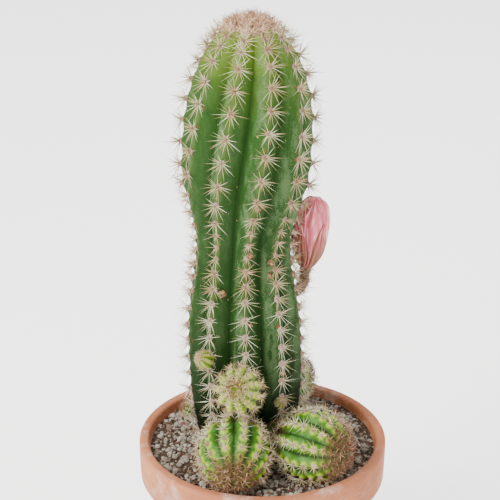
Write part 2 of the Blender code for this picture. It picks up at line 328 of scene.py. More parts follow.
def smooth(piece, angle=180.0):
    choose(piece)
    bpy.ops.object.shade_smooth_by_angle(angle=math.radians(angle))
    return piece


def skin_of(piece):
    choose(piece)
    return BVHTree.FromObject(piece, bpy.context.evaluated_depsgraph_get())


def hand_in(piece, finish, slot, *nodes):
    """Gives a piece its material and its body, and hides the CAD nodes that it stands for."""
    piece.data.materials.clear()
    piece.data.materials.append(finish)
    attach(piece, "root")
    if nodes:
        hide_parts(*nodes)
    return piece


# ---- materials


class Wire:
    """A node's output, which Python's own signs do arithmetic on."""

    def __init__(self, finish, socket):
        self.finish = finish
        self.socket = socket

    def maths(self, operation, first, second):
        return self.finish.node("ShaderNodeMath", {"operation": operation}, {0: first, 1: second})

    def __add__(self, other):
        return self.maths("ADD", self, other)

    def __sub__(self, other):
        return self.maths("SUBTRACT", self, other)

    def __mul__(self, other):
        return self.maths("MULTIPLY", self, other)

    def __truediv__(self, other):
        return self.maths("DIVIDE", self, other)

    def __rsub__(self, other):
        return self.maths("SUBTRACT", other, self)

    __radd__ = __add__
    __rmul__ = __mul__

    def between(self, low, high):
        """0 below low and 1 above high, eased between them."""
        settings = {"interpolation_type": "SMOOTHSTEP"}
        return self.finish.node(
            "ShaderNodeMapRange", settings, {0: self, 1: low, 2: high, 3: 0.0, 4: 1.0}
        )


class Finish:
    """A material round one Principled shader."""

    def __init__(self, name, **constants):
        self.material = bpy.data.materials.new(name)
        self.material.use_nodes = True
        self.tree = self.material.node_tree
        self.shader = self.tree.nodes["Principled BSDF"]
        self.set(**constants)

    def set(self, **sockets):
        """Values or wires for the shader's sockets; an underscore stands for a space."""
        for name, value in sockets.items():
            self.join(self.shader.inputs[name.replace("_", " ")], value)

    def join(self, socket, value):
        if isinstance(value, Wire):
            self.tree.links.new(value.socket, socket)
        elif isinstance(value, tuple) and len(value) == 3 and socket.type == "RGBA":
            socket.default_value = (*value, 1.0)
        else:
            socket.default_value = value

    def node(self, kind, settings, sockets, output=0):
        """Any other node: its settings first, then its sockets."""
        made = self.tree.nodes.new(kind)
        for name, value in settings.items():
            if name == "stops":
                self.set_stops(made.color_ramp, value)
            else:
                setattr(made, name, value)
        for key, value in sockets.items():
            self.join(made.inputs[key], value)
        return Wire(self, made.outputs[output])

    @staticmethod
    def set_stops(ramp, stops):
        while len(ramp.elements) < len(stops):
            ramp.elements.new(1.0)
        for element, (place, colour) in zip(ramp.elements, stops):
            element.position = place
            element.color = (*colour, 1.0)

    def mark(self, name):
        """A number that the mesh holds at each point."""
        return self.node("ShaderNodeAttribute", {"attribute_name": name}, {}, output=2)

    def place(self):
        """The point on the object, in metres."""
        return self.node("ShaderNodeTexCoord", {}, {}, output=3)

    def height(self):
        return self.node("ShaderNodeSeparateXYZ", {}, {0: self.place()}, output=2)

    def stretched(self, x, y, z):
        return self.node(
            "ShaderNodeVectorMath", {"operation": "MULTIPLY"}, {0: self.place(), 1: (x, y, z)}
        )

    def vector(self, x, y, z):
        return self.node("ShaderNodeCombineXYZ", {}, {0: x, 1: y, 2: z})

    def noise(self, scale, detail=3.0, rough=0.55, where=None):
        sockets = {"Vector": where or self.place(), "Scale": scale}
        sockets |= {"Detail": detail, "Roughness": rough}
        return self.node("ShaderNodeTexNoise", {}, sockets)

    def cells(self, scale):
        """Distance from the middle of each of many small cells."""
        return self.node("ShaderNodeTexVoronoi", {}, {"Vector": self.place(), "Scale": scale})

    def mix(self, share, first, second, blend="MIX"):
        """The first colour turned into the second by a share."""
        settings = {"data_type": "RGBA", "blend_type": blend, "clamp_factor": True}
        return self.node("ShaderNodeMix", settings, {0: share, 6: first, 7: second}, output=2)

    def ramp(self, value, *stops):
        """A colour that runs through (place, colour) stops."""
        return self.node("ShaderNodeValToRGB", {"stops": stops}, {0: value})

    def relief(self, height, depth):
        """A bumpy normal from a height of 0 to 1."""
        self.set(Normal=self.node("ShaderNodeBump", {}, {"Height": height, "Distance": depth}))


def stem_skin():
    made = Finish("stem_skin", Specular_IOR_Level=0.08, Coat_Roughness=0.4)
    crest, near = made.mark("crest"), made.mark("areole")
    high = (made.height() - SOIL_TOP) / (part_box("main_stem")[1].z - SOIL_TOP)
    left = made.mark("left")
    blotch = made.noise(26.0, 4.0)
    streak = made.noise(1.0, 4.0, where=made.stretched(120.0, 120.0, 40.0))
    fine = made.noise(900.0, 2.0)
    # The green darkens towards the foot to near black at the soil, which is painted shade; it is
    # yellower at the crown, where the young skin grows.
    green = made.ramp(
        high + 0.10 * (blotch - 0.5),
        (0.00, (0.001, 0.002, 0.001)),
        (0.07, (0.002, 0.006, 0.001)),
        (0.18, (0.006, 0.020, 0.003)),
        (0.35, (0.011, 0.037, 0.005)),
        (0.62, (0.014, 0.047, 0.007)),
        (0.80, (0.020, 0.063, 0.008)),
        (0.90, (0.046, 0.102, 0.010)),
        (0.96, (0.120, 0.200, 0.018)),
        (1.00, (0.260, 0.320, 0.040)),
    )
    # Pale grey-green on the flanks: a quarter of it is the wax bloom all round, the rest is painted
    # sheen on the flanks that face -X, towards the key lamp.
    flank = crest.between(0.06, 0.40) * (1.0 - 0.6 * crest.between(0.74, 0.98))
    bloom_and_sheen = 0.25 + 0.75 * left.between(0.30, 0.95)
    bloom_and_sheen = bloom_and_sheen * (streak + 0.5 * (fine - 0.5)).between(0.38, 0.64)
    skin = made.mix(0.52 * bloom_and_sheen * flank * high.between(0.04, 0.35), green, (0.115, 0.185, 0.078))
    # Lighter yellow-green along the crests: a painted highlight on the ridges.
    ridge_highlight = crest.between(0.72, 1.0) * high.between(0.08, 0.5)
    skin = made.mix(0.40 * ridge_highlight, skin, (0.110, 0.165, 0.035))
    # Darker in the valleys between the ribs: painted shade.
    skin = made.mix(0.35 * (1.0 - crest.between(0.0, 0.14)), skin, (0.004, 0.018, 0.004))
    # Darker green patches only on the flanks that face +X, away from the key lamp: painted shade.
    shade_patch = made.noise(75.0, 3.0).between(0.50, 0.72) * (1.0 - left)
    skin = made.mix(0.35 * shade_patch, skin, (0.008, 0.030, 0.005))
    dots = 1.0 - made.cells(620.0).between(0.10, 0.22)
    skin = made.mix(0.22 * dots * blotch, skin, (0.18, 0.25, 0.11))
    scar = near.between(0.30, 0.70) * made.noise(170.0, 3.0).between(0.62, 0.70)
    skin = made.mix(0.85 * scar, skin, (0.210, 0.052, 0.018))
    fleck = made.noise(150.0, 2.0).between(0.725, 0.755)
    skin = made.mix(0.85 * fleck, skin, (0.400, 0.300, 0.110))
    cork = (1.0 - high.between(0.0, 0.16)) * made.noise(90.0, 4.0).between(0.52, 0.66)
    skin = made.mix(0.6 * cork, skin, (0.045, 0.032, 0.020))
    made.set(Base_Color=skin, Roughness=0.46 + 0.2 * fine + 0.2 * cork)
    made.set(Coat_Weight=0.05 * blotch * high)
    made.relief(0.5 * fine + 0.5 * made.cells(380.0) + 1.4 * streak + cork, 0.22 * MM)
    return made.material


def offset_skin(name, tender):
    """Bright young skin; a more tender offset is yellower."""
    made = Finish(name, Specular_IOR_Level=0.14, Coat_Roughness=0.4)
    crest, near, back = made.mark("crest"), made.mark("areole"), made.mark("back")
    blotch = made.noise(60.0, 3.0)
    fine = made.noise(1400.0, 2.0)
    deep = (0.005 + 0.035 * tender, 0.028 + 0.060 * tender, 0.002)
    mid = (0.042 + 0.095 * tender, 0.140 + 0.085 * tender, 0.006)
    lime = (0.340 + 0.06 * tender, 0.480 - 0.02 * tender, 0.024)
    pale = (0.095 + 0.10 * tender, 0.225 + 0.07 * tender, 0.055 - 0.03 * tender)
    # Darker towards the valleys and lighter on the crests: painted shade in the valleys.
    skin = made.mix((crest + 0.5 * (blotch - 0.5)).between(-0.05, 0.50), deep, mid)
    flank = crest.between(0.0, 0.3) * (1.0 - crest.between(0.6, 0.9))
    skin = made.mix(0.55 * flank * blotch.between(0.50, 0.60), skin, pale)
    skin = made.mix(0.92 * near.between(0.15, 0.70) * crest.between(0.10, 0.5), skin, lime)
    skin = made.mix(0.25 * (1.0 - made.cells(900.0).between(0.1, 0.24)), skin, (0.32, 0.42, 0.14))
    shade = (1.0 - back.between(0.04, 0.22)) * (1.0 - 0.75 * tender)
    skin = made.mix(0.85 * shade, skin, (0.060, 0.036, 0.012))
    bark = back.between(0.62, 0.90) * made.noise(240.0, 4.0).between(0.36, 0.58)
    skin = made.mix(bark, skin, (0.110, 0.055, 0.028))
    made.set(Base_Color=skin, Roughness=0.42 + 0.2 * fine + 0.3 * bark, Coat_Weight=0.05 * blotch)
    made.relief(0.4 * fine + 0.6 * made.cells(700.0) + bark, 0.2 * MM)
    return made.material


def spine_finish():
    """The "age" mark runs from white through straw, tan and peach to brown; tips are brown."""
    made = Finish("spine", Specular_IOR_Level=0.4, Coat_Roughness=0.3)
    along, shade, age = made.mark("along"), made.mark("shade"), made.mark("age")
    straw = made.ramp(
        age + 0.46 * (shade - 0.5),
        (0.00, (0.820, 0.780, 0.590)),
        (0.22, (0.430, 0.360, 0.180)),
        (0.40, (0.350, 0.225, 0.105)),
        (0.60, (0.950, 0.680, 0.470)),
        (0.80, (0.360, 0.185, 0.078)),
        (1.00, (0.130, 0.055, 0.022)),
    )
    point = along.between(0.45, 1.0) * (0.20 + 0.75 * shade)
    straw = made.mix(point, straw, (0.170, 0.060, 0.032))
    root = 1.0 - along.between(0.0, 0.20)
    straw = made.mix(0.6 * root, straw, (0.260, 0.130, 0.095))
    made.set(Base_Color=straw, Roughness=0.42 + 0.2 * shade, Coat_Weight=0.1 * shade)
    made.relief(made.noise(2600.0, 2.0), 0.05 * MM)
    return made.material


def felt_finish():
    made = Finish("areole_felt", Specular_IOR_Level=0.2, Sheen_Weight=0.35, Sheen_Roughness=0.6)
    shade, age = made.mark("shade"), made.mark("age")
    fluff = made.noise(2200.0, 4.0, 0.7)
    wool = made.ramp(
        age + 0.3 * (shade - 0.5),
        (0.00, (0.340, 0.205, 0.150)),
        (0.22, (0.285, 0.165, 0.120)),
        (0.40, (0.300, 0.180, 0.120)),
        (0.60, (0.860, 0.620, 0.440)),
        (0.80, (0.260, 0.130, 0.070)),
        (1.00, (0.130, 0.065, 0.032)),
    )
    wool = made.mix(0.6 * fluff.between(0.42, 0.62), wool, (0.160, 0.085, 0.075))
    made.set(Base_Color=wool, Roughness=0.88 + 0.1 * fluff)
    made.relief(fluff, 0.35 * MM)
    return made.material


def withered_finish():
    """Aborted buds: brown scales with a red flush."""
    made = Finish("withered_bud", Specular_IOR_Level=0.3)
    grain = made.noise(900.0, 4.0)
    dry = (grain + 0.4 * (made.mark("shade") - 0.5)).between(0.35, 0.65)
    tan = made.mix(dry, (0.12, 0.055, 0.025), (0.50, 0.34, 0.17))
    tan = made.mix(0.8 * made.mark("red"), tan, (0.095, 0.014, 0.014))
    made.set(Base_Color=tan, Roughness=0.7 + 0.2 * grain)
    made.relief(grain, 0.3 * MM)
    return made.material


def tepal_finish(name, light, mid, deep, base, foot_end):
    made = Finish(name, Specular_IOR_Level=0.35, Subsurface_Weight=0.12, Subsurface_Scale=0.002)
    side, rise = made.mark("side"), made.mark("rise")
    number = made.mark("number")
    veins = made.noise(1.0, 3.0, where=made.vector(side * 3.4 + rise * 2.0, rise * 3.2, number))
    lines = made.noise(1.0, 2.0, where=made.vector(side * 15.0 + rise * 5.0, rise * 4.0, number))
    silk = made.mix(veins.between(0.44, 0.68), mid, light)
    silk = made.mix(0.50 * lines.between(0.50, 0.72), silk, deep)
    edge = side * side
    # A dark band just inside each edge: painted shade where one petal lies over the next.
    silk = made.mix(0.75 * edge.between(0.45, 0.85), silk, deep)
    silk = made.mix(0.6 * edge.between(0.90, 0.96), silk, light)
    foot = (1.0 - rise.between(0.14, foot_end)) * (0.55 + 0.6 * lines)
    silk = made.mix(foot, silk, base)
    made.set(Base_Color=silk, Roughness=0.42 + 0.25 * veins, Coat_Weight=0.08 * veins)
    made.relief(0.6 * lines + veins, 0.30 * MM)
    return made.material


def tube_finish():
    made = Finish("tube_skin", Specular_IOR_Level=0.3)
    grain = made.noise(420.0, 4.0)
    skin = made.mix(grain.between(0.35, 0.65), (0.075, 0.040, 0.020), (0.230, 0.120, 0.065))
    skin = made.mix(0.5 * made.mark("shade"), skin, (0.33, 0.18, 0.11))
    made.set(Base_Color=skin, Roughness=0.6 + 0.3 * grain)
    made.relief(grain, 0.35 * MM)
    return made.material


def clay_finish():
    made = Finish("terracotta", Specular_IOR_Level=0.25)
    cloud = made.noise(14.0, 5.0)
    speck = made.noise(620.0, 3.0)
    rings = made.noise(1.0, 3.0, where=made.stretched(9.0, 9.0, 420.0))
    clay = made.mix(cloud.between(0.34, 0.66), (0.320, 0.105, 0.045), (0.440, 0.165, 0.075))
    clay = made.mix(0.35 * rings.between(0.45, 0.7), clay, (0.50, 0.22, 0.12))
    clay = made.mix(0.5 * speck.between(0.66, 0.72), clay, (0.140, 0.055, 0.030))
    rise = made.height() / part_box("pot")[1].z
    lime = made.noise(32.0, 6.0, 0.65).between(0.50, 0.72) * (0.30 + 0.7 * rise.between(0.55, 1.0))
    clay = made.mix(0.50 * lime, clay, (0.640, 0.560, 0.490))
    damp = made.noise(20.0, 4.0) + 0.5 * (1.0 - rise.between(0.0, 0.45))
    clay = made.mix(0.4 * damp.between(0.62, 0.92), clay, (0.190, 0.075, 0.040))
    made.set(Base_Color=clay, Roughness=0.78 + 0.2 * lime)
    made.relief(0.6 * speck + 1.2 * rings + 0.8 * lime, 0.28 * MM)
    return made.material


def soil_finish():
    made = Finish("cactus_soil", Specular_IOR_Level=0.15)
    crumb = made.noise(330.0, 5.0, 0.7)
    earth = made.mix(crumb.between(0.35, 0.65), (0.022, 0.014, 0.009), (0.085, 0.055, 0.034))
    earth = made.mix(0.8 * made.noise(700.0, 2.0).between(0.70, 0.74), earth, (0.34, 0.28, 0.22))
    made.set(Base_Color=earth, Roughness=0.9 + 0.08 * crumb)
    made.relief(crumb + made.cells(260.0), 0.9 * MM)
    return made.material


def grit_finish():
    """Pumice, lava, granite and baked clay, told apart by the stone's own shade."""
    made = Finish("grit", Specular_IOR_Level=0.25)
    shade = made.mark("shade")
    grain = made.noise(1300.0, 4.0)
    stone = made.ramp(
        shade,
        (0.00, (0.060, 0.045, 0.035)),
        (0.18, (0.150, 0.062, 0.040)),
        (0.36, (0.240, 0.205, 0.170)),
        (0.55, (0.260, 0.220, 0.175)),
        (0.75, (0.340, 0.300, 0.240)),
        (1.00, (0.460, 0.430, 0.370)),
    )
    stone = made.mix(0.5 * grain.between(0.45, 0.65), stone, (0.10, 0.075, 0.055), "MULTIPLY")
    made.set(Base_Color=stone, Roughness=0.8 + 0.15 * grain)
    made.relief(grain + made.cells(1500.0), 0.30 * MM)
    return made.material


# ---- measures read from the frame


def cad_corners(node):
    points = np.array([vertex.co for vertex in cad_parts[node].data.vertices])
    return np.unique(points.round(5), axis=0)


class StemShape:
    """The stem's axis, crest radius and front rib at each height, read from its CAD node."""

    def __init__(self):
        points = cad_corners("main_stem")
        points = points[np.argsort(points[:, 2])]
        cuts = np.nonzero(np.diff(points[:, 2]) > 1e-4)[0] + 1
        rows, front = [], 0.0
        for ring in np.split(points, cuts):
            if len(ring) < STEM_RIBS:
                continue
            middle = ring.mean(axis=0)
            out = ring - middle
            reach = np.hypot(out[:, 0], out[:, 1])
            crests = reach > 0.985 * reach.max()
            towards = np.degrees(np.arctan2(out[crests, 0], -out[crests, 1]))
            away = (towards - front + 180.0) % 360.0 - 180.0
            front += away[np.argmin(abs(away))]
            rows.append((middle[2], middle[0], middle[1], reach.max(), front))
        self.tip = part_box("main_stem")[1].z
        rows.append((self.tip, *rows[-1][1:3], 0.0, rows[-1][4]))
        self.rows = np.array(rows)

    def at(self, height):
        """Axis point, crest radius and front rib's direction at a height."""
        x, y, crest, front = (
            float(np.interp(height, self.rows[:, 0], self.rows[:, k])) for k in (1, 2, 3, 4)
        )
        return Vector((x, y, height)), crest, front

    def crest_point(self, rib, height):
        axis, crest, front = self.at(height)
        return axis + crest * direction(front + rib * 360.0 / STEM_RIBS)


STEM = StemShape()


def offset_shape(node):
    """Centre, axis and crest radius of an offset, from its CAD node's tip and widest ring."""
    facing, rise, *_ = OFFSETS[node]
    slope = math.radians(rise)
    axis = math.cos(slope) * direction(facing) + math.sin(slope) * UP
    points = cad_corners(node)
    along = points @ np.array(axis)
    tip = points[np.argmax(along)]
    behind = along.max() - along
    aside = np.linalg.norm(points - tip + behind[:, None] * np.array(axis), axis=1)
    ahead = aside * OFFSET_LENGTH_SHARE >= behind - 1e-4
    radius = float(aside[ahead].max())
    return Vector(tip) - axis * radius * OFFSET_LENGTH_SHARE, axis, radius


def rib_phase(place, middle, ribs):
    """How far a point is from its nearest rib, as a share of the ribs' spacing."""
    out = Vector(place) - Vector(middle)
    phase = math.degrees(math.atan2(out.x, -out.y)) * ribs / 360.0
    return phase - round(phase)


def pinch_valleys(piece, ribs, sides_per_rib, depth, middle):
    """Draws a ring in between its ribs, and returns the phase of every point."""
    steps = sides_per_rib // 2
    for step in range(1, steps + 1):
        share = step / steps

        def at_step(place):
            return abs(abs(2.0 * rib_phase(place, middle, ribs)) - share) < 0.5 / steps

        with editing(piece):
            select_points(piece, at_step)
            widen(1.0 - depth * share**1.5, middle)
    return np.array([rib_phase(point, middle, ribs) for point in points_of(piece)])


def ball_directions(angle, out):
    """Which way a ball's skin faces, and which way it climbs, at an angle from its tip."""
    faces = math.sin(angle) * out + math.cos(angle) * UP
    climbs = math.sin(angle) * UP - math.cos(angle) * out
    return faces, climbs.normalized()


# ---- areoles: where they sit, the mounds under them, and what grows from them

# along points up the rib; size is the spacing; height is the share of the way up the shoot
Areole = namedtuple("Areole", "place normal along size height")


def rising(place, nearby, outward, size, height):
    """An areole whose own up runs along the rib from a point to one just above it."""
    along = (nearby - place).normalized()
    normal = (outward - outward.dot(along) * along).normalized()
    return Areole(place, normal, along, size, height)


def stem_areoles():
    """Down every rib from the crown, closest together at the crown and at the waist."""
    found = []
    for half in range(2 * STEM_RIBS):
        rib, between = half / 2.0, half % 2
        lowest = STEM.tip - CROWN_DEPTH if between else SOIL_TOP + 0.004
        height = STEM.tip - TOP_AREOLES[half % 4]
        while height > lowest:
            above = 1000.0 * (height - SOIL_TOP)
            step = MM * float(np.interp(above, AREOLE_HEIGHTS, AREOLE_SPACING))
            here, there = (STEM.crest_point(rib, height - drop) for drop in (0.0, 0.001))
            axis, _, front = STEM.at(height)
            out = direction(front + rib * 360.0 / STEM_RIBS)
            if between:
                here, there = (axis.lerp(spot, 0.9) for spot in (here, there))
            share = above / AREOLE_HEIGHTS[-1]
            found.append(rising(here, here + (here - there), out, step, share))
            slope = (here - there).length / 0.001
            height -= step * dice.uniform(0.93, 1.07) / slope
    return found


def swell(piece, areoles, mound, width, notch):
    """Raises a mound under each areole and sinks the skin just above it."""
    points, normals = points_of(piece), points_of(piece, "normal")
    raised, sunk = np.zeros(len(points)), np.zeros(len(points))
    for areole in areoles:
        reach = width * areole.size
        above = areole.place + 0.55 * areole.size * areole.along
        for level, place, share in ((raised, areole.place, 1.0), (sunk, above, 0.8)):
            away = np.linalg.norm(points - np.array(place), axis=1) / (reach * share)
            np.maximum(level, np.exp(-away * away), out=level)
    move_points(piece, points + normals * (mound * raised - notch * sunk)[:, None])
    per_point(piece, "areole", raised)


def seated(areoles, skin):
    """The areoles moved on to a finished skin."""
    return [a._replace(place=skin_point(skin, a.place, a.normal)) for a in areoles]


def skin_point(skin, place, outward):
    """The point of a skin that lies straight in from just outside a place."""
    hit, _, _, _ = skin.ray_cast(place + 15.0 * MM * outward, -outward, 30.0 * MM)
    return hit or place


def areole_matrix(areole, scale, spin=0.0):
    across = areole.along.cross(areole.normal)
    turned = Matrix((across, areole.along, areole.normal)).transposed().to_4x4()
    spun = rotation(spin, "Z")
    return Matrix.Translation(areole.place) @ turned @ spun @ Matrix.Scale(scale, 4)


def make_thorn():
    """A slender thorn one unit long, thickest just above its root."""
    thorn = new_ring("thorn", 5, 0.021)
    with editing(thorn):
        select_all()
        lift((0.0, 0.0, 0.5))
        widen(0.72, (0.0, 0.0, 0.5))
        bpy.ops.transform.translate(value=(0.0, 0.018, 0.0))
        close_end((0.0, 0.0, 0.5))
        shut_root(thorn)
    per_point(facing_out(thorn), "along", points_of(thorn)[:, 2])
    return thorn


def make_tuft(name, thorn, rays, middles, down, thickness):
    """A star of thorns round +Z; down is how far the star leaves its upper side bare."""
    copies = []
    arc = 360.0 - 150.0 * down
    for number in range(rays + middles):
        if number < rays:
            towards = 180.0 + arc * ((number + 0.5) / rays - 0.5) + dice.uniform(-9.0, 9.0)
            tilt = dice.uniform(58.0 - 20.0 * down - 8.0 * thickness, 84.0)
            length = dice.uniform(0.66, 1.0) * (1.0 - 0.14 * math.cos(math.radians(towards)))
            shade = dice.uniform(0.0, 0.75)
        else:
            towards, tilt = dice.uniform(0.0, 360.0), dice.uniform(10.0, 62.0)
            length = dice.uniform(0.4, 0.74) + (0.3 if number % 4 == 0 else 0.0)
            shade = dice.uniform(0.55, 1.0)
        thick = thickness * dice.uniform(0.85, 1.1) * (1.0 if number < rays else 1.25)
        place = rotation(-towards, "Z")
        place @= rotation(-tilt, "X")
        place @= Matrix.Translation((0.0, 0.0, 0.03)) @ Matrix.Diagonal((thick, thick, length, 1.0))
        copies.append(copy_to(thorn, place, shade=shade))
    return joined(name, copies)


def make_cushion(name, seed):
    """A low felt cushion two units across with short wool standing out of it."""
    cushion = new_piece(name, "ico_sphere", subdivisions=2, radius=1.0)
    place_points(
        cushion,
        lambda p: Vector((p.x, p.y * 1.12, p.z * 0.5)) * (1.0 + 0.3 * noise.noise(2.1 * p + 3 * UP)),
    )
    with editing(cushion):
        select_all()
        bpy.ops.transform.vertex_random(offset=0.08, seed=seed)
    wool = []
    strand = new_ring("strand", 3, 0.055)
    with editing(strand):
        select_all()
        close_end((0.0, 0.0, 1.0))
        shut_root(strand)
    facing_out(strand)
    for number in range(22):
        out = rotation(dice.uniform(0.0, 360.0), "Z")
        out @= rotation(dice.uniform(20.0, 88.0), "X")
        size = Matrix.Diagonal((1.0, 1.0, dice.uniform(0.5, 0.85), 1.0))
        wool.append(copy_to(strand, out @ Matrix.Translation((0.0, 0.0, 0.62)) @ size))
    discard([strand])
    return joined(name, [cushion, *wool])


def clothe(name, areoles, tufts, cushions, finishes, rule):
    """Joins a tuft and a cushion on to every areole; rule gives their sizes and ages."""
    spines, felts = [], []
    for areole in areoles:
        kind, length, felt, age = rule(areole)
        spin = dice.uniform(-14.0, 14.0)
        tuft = dice.choice(tufts[kind])
        lying = areole._replace(place=areole.place + 0.25 * felt * areole.normal)
        spines.append(copy_to(tuft, areole_matrix(lying, length, spin), age=age))
        seat = areole_matrix(areole, felt, dice.uniform(0.0, 360.0))
        mark = {"age": age, "shade": dice.random()}
        felts.append(copy_to(dice.choice(cushions), seat, **mark))
    hand_in(joined(f"{name}_spines", spines), finishes["spine"], "spine")
    hand_in(smooth(joined(f"{name}_felt", felts)), finishes["felt"], "areole_felt")


# ---- the stem


def build_stem_cage():
    """A star-shaped ring drawn up through every level of the stem."""
    sides = STEM_RIBS * CAGE_SIDES_PER_RIB
    levels = STEM.rows[:-1]
    foot = Vector((levels[0][1], levels[0][2], levels[0][0]))
    piece = new_ring("stem_skin", sides, levels[0][3], foot)
    phases = pinch_valleys(piece, STEM_RIBS, CAGE_SIDES_PER_RIB, STEM_RIB_DEPTH, foot)
    with editing(piece):
        select_all()
        turn(levels[0][4], foot)
        low = levels[0]
        for high in levels[1:]:
            centre = Vector((high[1], high[2], high[0]))
            lift(centre - Vector((low[1], low[2], low[0])))
            widen(high[3] / low[3], centre)
            turn(high[4] - low[4], centre)
            low = high
        close_end((0.0, 0.0, STEM.tip - low[0]))
        select_points(piece, lambda place: place.z < levels[0][0] + SAME_PLACE)
        close_end((0.0, 0.0, -0.001))
    phases = np.resize(phases, len(piece.data.vertices))
    phases[sides * len(levels):] = 0.2  # the points that close the two ends
    per_point(piece, "crest", 1.0 - abs(2.0 * phases))
    # How far each point faces -X across its rib; the skin paints sheen on these flanks and shade on
    # the others.
    per_point(piece, "left", 0.5 - 0.5 * np.sin(2.0 * math.pi * phases))
    facing_out(piece)
    with editing(piece):
        select_marked(piece, abs(phases) > 0.49)
        bpy.ops.transform.edge_crease(value=VALLEY_CREASE)
    return piece


def build_stem(finish):
    piece = subdivide(build_stem_cage(), 2)
    areoles = stem_areoles()
    swell(piece, areoles, mound=1.3 * MM, width=0.40, notch=0.7 * MM)
    skin = skin_of(piece)
    hand_in(smooth(piece), finish, "stem_skin", "main_stem")
    return seated(areoles, skin), skin


def stem_rule(areole):
    """Tuft, spine length, cushion radius and age at a place on the stem."""
    high = areole.height
    waist = math.exp(-(((high - 0.53) / 0.07) ** 2))
    crown = ease((high - 0.962) / 0.028)
    kind = "star"
    if high < 0.42:
        kind = "fan"
    elif waist > 0.5:
        kind = "sparse"
    length = (18.0 - 5.0 * waist - 7.5 * crown) * MM * dice.uniform(0.92, 1.08)
    felt = (3.1 - 0.9 * waist - 0.2 * crown) * MM
    age = 0.18 + 0.42 * crown + 0.20 * waist - 0.12 * ease((0.42 - high) / 0.1)
    return ("brush" if crown > 0.5 else kind), length, felt, age + dice.uniform(-0.08, 0.08)


# ---- the offsets


def build_offset_cage(name, ribs, radius, small):
    """A ribbed ball round the origin, its growing tip upwards."""
    per_rib = 4 if small else 6
    rings = 10 if small else 16
    sides = ribs * per_rib
    tall = OFFSET_LENGTH_SHARE * radius
    heights = [-tall * math.cos(math.pi * k / rings) for k in range(1, rings)]
    widths = [radius * math.sin(math.pi * k / rings) for k in range(1, rings)]
    foot = (0.0, 0.0, heights[0])
    piece = new_ring(name, sides, widths[0], foot)
    crest = 1.0 - abs(2.0 * pinch_valleys(piece, ribs, per_rib, OFFSET_RIB_DEPTH, foot))
    with editing(piece):
        select_all()
        for k in range(1, rings - 1):
            lift((0.0, 0.0, heights[k] - heights[k - 1]))
            widen(widths[k] / widths[k - 1], (0.0, 0.0, heights[k]))
        close_end((0.0, 0.0, tall - heights[-1]))
        select_points(piece, lambda place: place.z < heights[0] + 1e-6)
        close_end((0.0, 0.0, -tall - heights[0]))
    marks = np.resize(crest, len(piece.data.vertices))
    marks[sides * (rings - 1):] = 0.6  # the points that close the two ends
    per_point(piece, "crest", marks)
    subdivide(facing_out(piece), 1 if small else 2)
    per_point(piece, "back", 0.5 - 0.5 * points_of(piece)[:, 2] / tall)
    return piece


def offset_areoles(ribs, radius, spacing, last):
    """Down every rib of a ball, from near its tip to a last angle from the tip."""
    found = []
    for rib in range(ribs):
        polar = 11.0 if rib % 2 else 19.0
        while polar < last:
            angle = math.radians(polar)
            out = direction(rib * 360.0 / ribs)
            place = radius * (math.sin(angle) * out + OFFSET_LENGTH_SHARE * math.cos(angle) * UP)
            normal, along = ball_directions(angle, out)
            size = spacing * (0.55 + 0.45 * ease((polar - 15.0) / 45.0))
            found.append(Areole(place, normal.normalized(), along, size, 1.0 - polar / 180.0))
            polar += math.degrees(size / radius) * dice.uniform(0.93, 1.07)
    return found


def build_offset(node, finish):
    _, _, ribs, spacing, _ = OFFSETS[node]
    centre, axis, radius = offset_shape(node)
    small = radius < 10.0 * MM
    piece = build_offset_cage(node.replace("offset", "offset_skin"), ribs, radius, small)
    areoles = offset_areoles(ribs, radius, spacing, 120.0 if small else 150.0)
    bump = 0.23 * spacing
    swell(piece, areoles, mound=bump, width=0.42, notch=bump)
    stand = Matrix.Translation(centre) @ UP.rotation_difference(axis).to_matrix().to_4x4()
    turned = stand.to_3x3()
    areoles = [
        a._replace(place=stand @ a.place, normal=turned @ a.normal, along=turned @ a.along)
        for a in seated(areoles, skin_of(piece))
    ]
    piece.matrix_world = stand
    hand_in(smooth(settle(piece)), finish, "offset_skin", node)
    return areoles, centre, radius


def felt_radius(radius):
    """The cushion's radius on an offset of a crest radius."""
    if radius > 25.0 * MM:
        return 2.2 * MM
    return 1.6 * MM if radius > 15.0 * MM else 0.9 * MM


def offset_rule(spine, felt, tender):
    """Straw stars, with brown bristles round the growing tip; a tender offset has fewer."""

    def rule(areole):
        young = ease((areole.height - (0.84 if tender else 0.69)) / 0.08)
        length = spine * (1.0 - 0.2 * young) * dice.uniform(0.85, 1.12)
        age = 0.28 if tender else 0.10 + 0.28 * ease((areole.height - 0.45) / 0.25)
        if young > 0.5:
            age = (0.80 if felt > MM else 0.60) if tender else 0.95
        age += dice.uniform(-0.08, 0.08)
        kind = "bristle" if young > 0.5 else ("tender" if tender else "small")
        return kind, length, felt * (0.7 if tender else 1.0) * (1.0 - 0.35 * young), age

    return rule


def build_neck(node, centre, radius, finish):
    """The corky stalk that joins an offset to the stem."""
    height = min(max(centre.z, SOIL_TOP + 0.004), STEM.tip)
    axis, crest, _ = STEM.at(height)
    away = Vector((centre.x - axis.x, centre.y - axis.y, 0.0))
    inside = 0.84 * crest
    length = away.length - inside
    wide = 0.40 * radius
    rings = [(wide * 1.25, 0.0), (wide * 1.05, 0.25 * length), (wide, 0.55 * length)]
    rings += [(wide * 1.12, 0.8 * length), (wide * 0.9, length)]
    piece = turned_profile(node.replace("offset", "neck"), 14, rings)
    subdivide(piece, 2)
    stand = Matrix.Translation(axis + inside * away.normalized())
    piece.matrix_world = stand @ UP.rotation_difference(away).to_matrix().to_4x4()
    settle(piece)
    per_point(piece, "crest", 0.2)
    per_point(piece, "back", 1.0)
    hand_in(smooth(piece), finish, "offset_skin")


# ---- the flower bud and its tube


